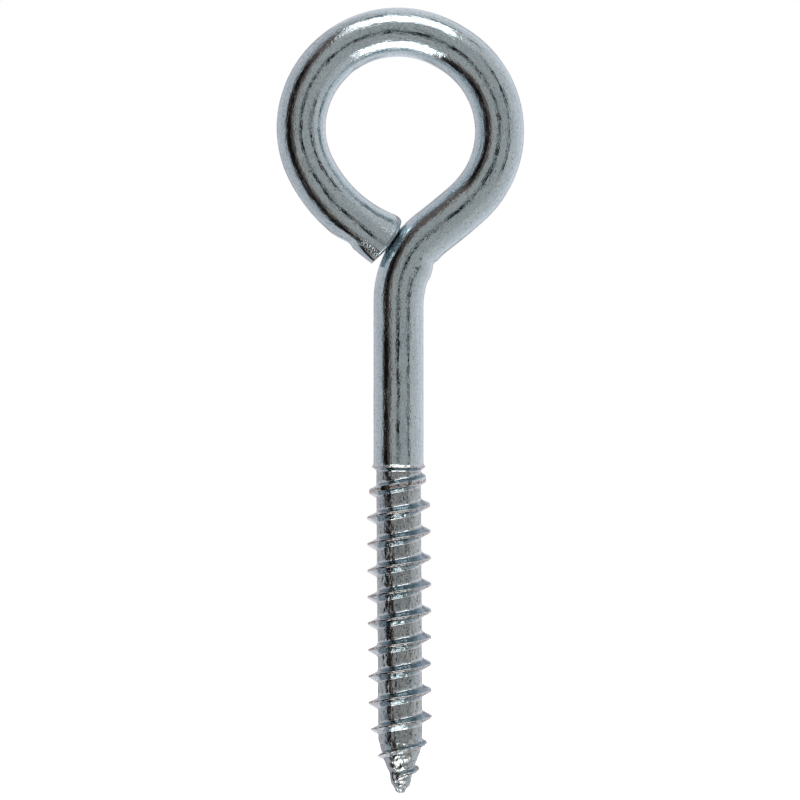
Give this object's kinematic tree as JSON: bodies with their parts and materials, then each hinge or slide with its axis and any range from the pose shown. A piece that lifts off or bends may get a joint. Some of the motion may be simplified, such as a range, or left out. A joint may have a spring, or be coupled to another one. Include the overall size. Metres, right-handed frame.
{
  "type": "screw eye",
  "caption": "Open bent-wire screw eye with a plain shank and a right-hand lag thread that tapers to a blunt point, bright zinc plated, screwed into timber to anchor a line.",
  "frame": {"origin": "on the screw axis at the crest of the collar, where the thread starts and the plain shank ends", "axes": "+Z along the screw axis towards the eye, so the point looks down -Z; the eye lies in the XZ plane and a line passes through it along Y; +X is the side the wire is thrown to at the neck"},
  "size_m": [0.0315, 0.008, 0.0996],
  "materials": {
    "bright_zinc_wire": "bright zinc plate over drawn steel wire, glossy, with faint lengthwise draw marks",
    "rolled_zinc_core": "bright zinc plate over a rolled surface, with dings and tool marks",
    "zinc_thread_crest": "bright zinc plate on the flanks, rubbed to a warm grey along the crest"
  },
  "bodies": {
    "root": {"shank": "bright_zinc_wire", "neck_bend": "bright_zinc_wire", "eye_shoulder": "bright_zinc_wire", "eye_right": "bright_zinc_wire", "eye_brow": "bright_zinc_wire", "eye_crown": "bright_zinc_wire", "eye_left": "bright_zinc_wire", "eye_heel": "bright_zinc_wire", "eye_tail": "bright_zinc_wire", "wire_end": "bright_zinc_wire", "thread_collar": "rolled_zinc_core", "thread_core": "rolled_zinc_core", "point_core": "rolled_zinc_core", "screw_thread": "zinc_thread_crest", "point_thread": "zinc_thread_crest"}
  },
  "joints": []
}
